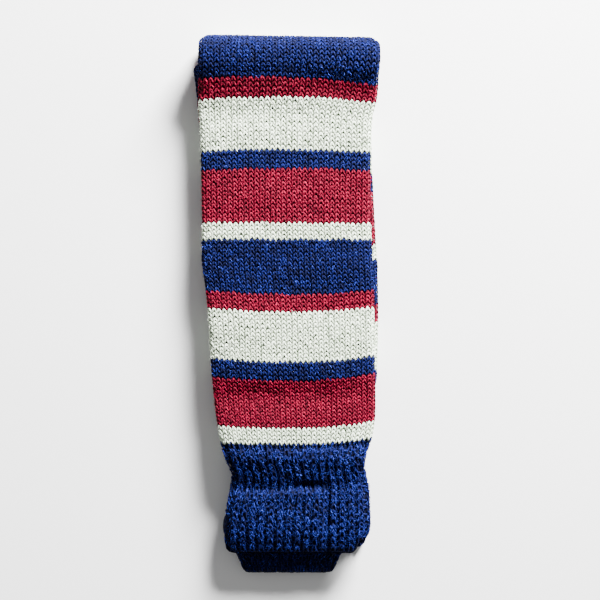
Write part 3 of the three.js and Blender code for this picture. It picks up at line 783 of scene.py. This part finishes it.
def cuff_surface(name):
    """The ribbed form of a cuff. Its columns count ribs round it, from the left end of its outer face."""
    cuff = CUFFS[name]
    start = cuff["seam"] - SEAM_GAP
    mouth = (cuff["upper_end"] + cuff["lower_end"]) / 2
    row_count = round((start - mouth) / RIB_ROW)
    rows = np.arange(-1, row_count + 1.01, CUFF_GRID_ROW)
    ring = np.arange(0, 2 * RIB_COUNT + 2, CUFF_GRID_RIB)
    nominal = start - rows / row_count * (start - mouth)
    nominal = nominal[:, None] * np.ones_like(ring)
    left = read(cuff["edges"], "left", nominal) + cuff["inset"]
    right = read(cuff["edges"], "right", nominal) - cuff["inset"]
    turn = np.pi * np.where(ring < RIB_COUNT + 1, ring - RIB_COUNT, 2 * RIB_COUNT + 2 - ring)
    turn = np.clip(turn, 0, np.pi)
    round_it = np.where(turn < np.pi / 2, CUFF_ROUND, HIDDEN_ROUND)
    out = round_it * (1 - np.sin(turn))
    half = np.where(turn < np.pi / 2, EDGE_DEPTH, 1 - EDGE_DEPTH)
    edge_depth = EDGE_DEPTH - half * np.cos(turn)
    on_outer, on_hidden = ring <= RIB_COUNT, (ring >= RIB_COUNT + 1) & (ring <= 2 * RIB_COUNT + 1)
    on_right = (ring > RIB_COUNT) & (ring < RIB_COUNT + 1)
    share = np.where(on_outer, ring / RIB_COUNT, (2 * RIB_COUNT + 1 - ring) / RIB_COUNT)
    rounding = np.where(on_outer, CUFF_ROUND, HIDDEN_ROUND)
    x = left + rounding + (right - left - 2 * rounding) * share
    x = np.where(on_outer | on_hidden, x, np.where(on_right, right - out, left + out))
    depth = np.where(on_outer, 0, np.where(on_hidden, 1, edge_depth)) * np.ones_like(nominal)
    end = cuff["upper_end"] + (cuff["lower_end"] - cuff["upper_end"]) * depth
    over = np.clip(1 - np.minimum(x - left, right - x) / cuff["corner"], 0, 1)
    end = end + cuff["corner"] * (1 - np.sqrt(1 - over**2)) * CORNER_FULLNESS
    end = end + cuff["right_rise"] * smoothstep(*RIGHT_RISE_STRETCH, x)
    mouth_start = mouth + MOUTH_LENGTH
    near_mouth = (mouth_start - nominal) / MOUTH_LENGTH
    y = np.where(near_mouth > 0, mouth_start + (end - mouth_start) * near_mouth, nominal)
    if cuff["layer"].endswith("front"):
        seam_rise = read(WAVER, "right", np.zeros(1))[0] * np.clip(x / HALF_WIDTH, 0, 1) ** 2
        y = y + seam_rise * (1 - smoothstep(0, SEAM_BLEND, start - nominal))
    low, high = layer_heights(cuff["layer"], y)
    valley = (0.5 + 0.5 * np.cos(ring * 2 * np.pi)) ** VALLEY_SHARPNESS
    from_outer = depth * (high - low) + RIB_DEPTH * valley * (1 - depth)
    z = high - from_outer if cuff["layer"].endswith("front") else low + from_outer
    if name == "outer_ankle_cuff":
        z = z + relief(CREASES, x, y) * (1 - depth)
    surface = Surface(settle(x, y, z), rows[0], CUFF_GRID_ROW, CUFF_GRID_RIB)
    # The rows run down the leg, so a front cuff's normals come out pointing inward and are turned
    if cuff["layer"].endswith("front"):
        surface.normals = -surface.normals
    return surface, row_count


cuff_surfaces, cuffs_cloth = {}, {}
for name in CUFFS:
    surface, row_count = cuff_surface(name)
    cuff_surfaces[name] = (surface, row_count)
    cuffs_cloth[name] = cloth_wall(
        name, surface, np.linspace(0, row_count, row_count * 2 + 1), np.arange(0, 2 * RIB_COUNT + 2.01, 0.5),
        CUFF_RECESS, lambda row: YARNS.index("navy"),
    )

# Cuffs, the stitches
# The knit stitches of the rib are large loose loops in upright columns, pointing up the leg like the rest.
# The purl stitches lie in the furrows between them as short bars, and a cast-off chain runs round each mouth.
RIB_PATH = [
    {"across": -2.40, "along": -3.9, "height": -0.9, "wide": 0.50},
    {"across": -2.05, "along": -2.6, "height": -0.15, "wide": 0.60},
    {"across": -1.52, "along": -0.9, "height": 0.2, "wide": 0.66},
    {"across": -0.98, "along": 0.9, "height": 0.3, "wide": 0.66},
    {"across": -0.46, "along": 2.6, "height": 0.15, "wide": 0.60},
    {"across": 0.0, "along": 3.9, "height": -0.9, "wide": 0.45},
]
PURL_PATH = [
    {"across": -1.8, "along": 0.7, "height": -1.1, "wide": 0.0, "tall": 0.0},
    {"across": -0.9, "along": 0.2, "height": -0.3, "wide": 0.85, "tall": 0.6},
    {"across": 0.9, "along": 0.2, "height": -0.3, "wide": 0.85, "tall": 0.6},
    {"across": 1.8, "along": 0.7, "height": -1.1, "wide": 0.0, "tall": 0.0},
]
CHAIN_PATH = [
    {"across": -2.3, "along": -0.5, "height": -1.5, "wide": 0.0, "tall": 0.0},
    {"across": -1.1, "along": 0.1, "height": -1.0, "wide": 0.75, "tall": 0.85},
    {"across": 0.9, "along": 0.1, "height": -1.2, "wide": 0.75, "tall": 0.85},
    {"across": 2.3, "along": 0.5, "height": -1.8, "wide": 0.0, "tall": 0.0},
]
RIB_WIDTH = 6.5
SEAM_REACH = 0.3
MOUTH_REACH = 0.12
RIB_ROW_CHANCE = 0.05
RIB_TINT = (0.0, 0.055)
PURL_TINT = (0.02, 0.04)
CHAIN_TINT = (0.08, 0.04)

# The ankle cuffs' yarn shows its two plies, which wind about the way that RIB_PATH gives, within its width.
# The top cuffs underneath have the yarn as one.
PLIES = [
    {"phase": 0.6, "radius": 0.44, "offset": 0.62},
    {"phase": 0.6 + math.pi, "radius": 0.44, "offset": 0.62},
]
WHOLE_YARN = [{"phase": 0.0, "radius": 0.66, "offset": 0.0}]
PLY_TWIST = 1.25


def plied(path, ply):
    """The way of one of the yarn's plies, which winds round the middle of the yarn."""
    turn = np.linspace(0, PLY_TWIST * 2 * math.pi, len(path)) + ply["phase"]
    way = []
    for point, angle in zip(path, turn):
        ends = point["along"] in (path[0]["along"], path[-1]["along"])
        radius = 0 if ends else ply["radius"]
        away = ply["offset"] * point["wide"]
        way.append({
            "across": point["across"] + away * math.cos(angle), "along": point["along"],
            "height": point["height"] + away * math.sin(angle), "wide": radius, "tall": radius,
        })
    return way


def navy_strands(points, faces, marks, tint):
    """A batch for a cuff. Its rows run down the leg, so the strands' faces are turned to look outward."""
    return points, faces[:, ::-1], marks[:, ::-1], np.full(len(points), YARNS.index("navy")), tint


def rib_stitches(surface, row_count, ribs, plies, rng):
    """Ribs, furrows and the mouth's chain. The first row reaches up into the last row of the leg."""
    rows = np.linspace(-SEAM_REACH, row_count - 1, row_count)
    row, rib = [grid.ravel() for grid in np.meshgrid(rows, ribs, indexing="ij")]
    row_shift, column_shift = uneven(row, rib)
    row_shift = row_shift + rng.normal(0, RIB_ROW_CHANCE, (len(row), 1))
    batches = []
    for side_sign in (-1, 1):
        for ply in plies:
            strands, faces, marks = yarn_strands(plied(RIB_PATH, ply), YARN_SIDES, rng, len(row), side_sign)
            at_row = row[:, None] + 0.5 - strands[..., 1] / RIB_ROW + row_shift
            at_row = np.minimum(at_row, row_count + MOUTH_REACH)
            at_rib = rib[:, None] + 0.5 + strands[..., 0] / RIB_WIDTH + column_shift
            points = surface.at(at_row, at_rib, strands[..., 2])
            batches.append(navy_strands(points, faces, marks, tint_and_painted_shade_of(strands, RIB_TINT, rng)))
    strands, faces, marks = yarn_strands(PURL_PATH, YARN_SIDES, rng, len(row), 1)
    at_row = row[:, None] + 0.5 - strands[..., 1] / RIB_ROW
    at_rib = rib[:, None] + strands[..., 0] / RIB_WIDTH
    points = surface.at(at_row, at_rib, strands[..., 2])
    batches.append(navy_strands(points, faces, marks, tint_and_painted_shade_of(strands, PURL_TINT, rng)))
    ring = np.arange(0, 2 * RIB_COUNT + 2, 0.5)
    strands, faces, marks = yarn_strands(CHAIN_PATH, YARN_SIDES, rng, len(ring), 1)
    at_rib = ring[:, None] + strands[..., 0] / RIB_WIDTH
    points = surface.at(row_count - strands[..., 1] / RIB_ROW, at_rib, strands[..., 2])
    batches.append(navy_strands(points, faces, marks, tint_and_painted_shade_of(strands, CHAIN_TINT, rng)))
    return batches


for name, (surface, row_count) in cuff_surfaces.items():
    ribs = np.arange(CUFFS[name]["ribs"][0], CUFFS[name]["ribs"][1] + 1)
    plies = PLIES if name.endswith("ankle_cuff") else WHOLE_YARN
    strand_piece(f"{name}_stitches", rib_stitches(surface, row_count, ribs, plies, rng))

# Loose fibres
# Brushed and worn acrylic stands up in short loose hairs. They lie over the stitches at all angles, mostly
# along the yarn, and catch the light; their colour is lifted towards the pale end as a painted highlight.
# Each is a thin three-sided strand.
HAIR_PATH = [
    {"across": 0.0, "along": -1.6, "height": 0.55, "wide": 0.0, "tall": 0.0},
    {"across": 0.25, "along": -0.6, "height": 0.95, "wide": 0.08, "tall": 0.08},
    {"across": 0.05, "along": 0.6, "height": 1.0, "wide": 0.08, "tall": 0.08},
    {"across": -0.35, "along": 1.6, "height": 0.6, "wide": 0.0, "tall": 0.0},
]
LEG_HAIRS = 5200
CUFF_HAIRS = {"outer_ankle_cuff": 2600, "inner_ankle_cuff": 900}
HAIR_SIDES = 3
HAIR_TURN, TURN_SPREAD = 0.5, 0.35
HAIR_STRETCH = (0.6, 1.3)
# Painted highlight: the hairs' tint, lifted towards the pale end of their yarn, and its spread
HAIR_PAINTED_HIGHLIGHT = (0.17, 0.07)


def hairs(surface, count, rows, columns, row_height, column_width, rng):
    """Short hairs strewn over a stretch of a surface, each turned and stretched by chance: their points,
    faces, UVs, rows and tints."""
    row = rng.uniform(*rows, count)
    column = rng.uniform(*columns, count)
    strands, faces, marks = yarn_strands(HAIR_PATH, HAIR_SIDES, rng, count, 1)
    turn = rng.normal(HAIR_TURN, TURN_SPREAD, (count, 1)) * np.where(rng.random((count, 1)) < 0.5, -1, 1)
    stretch = rng.uniform(*HAIR_STRETCH, (count, 1))
    across = (strands[..., 0] * np.cos(turn) - strands[..., 1] * np.sin(turn)) * stretch
    along = (strands[..., 0] * np.sin(turn) + strands[..., 1] * np.cos(turn)) * stretch
    at_row, at_column = row[:, None] + along / row_height, column[:, None] + across / column_width
    points = surface.at(at_row, at_column, strands[..., 2])
    return points, faces, marks, row, tint_and_painted_shade_of(strands, HAIR_PAINTED_HIGHLIGHT, rng)


points, faces, marks, row, tint = hairs(
    surfaces["outer"], LEG_HAIRS, (1, ROWS - 1), (-1.5, COLUMNS / 2 + 1.5), ROW_HEIGHT, STITCH_WIDTH, rng
)
strand_piece("leg_loose_fibres", [(points, faces, marks, stripe_of(row), tint)])
for name, count in CUFF_HAIRS.items():
    surface, row_count = cuff_surfaces[name]
    points, faces, marks, row, tint = hairs(
        surface, count, (0.5, row_count - 0.5), (-0.5, RIB_COUNT + 0.5), -RIB_ROW, RIB_WIDTH, rng
    )
    strand_piece(f"{name}_loose_fibres", [navy_strands(points, faces, marks, tint)])
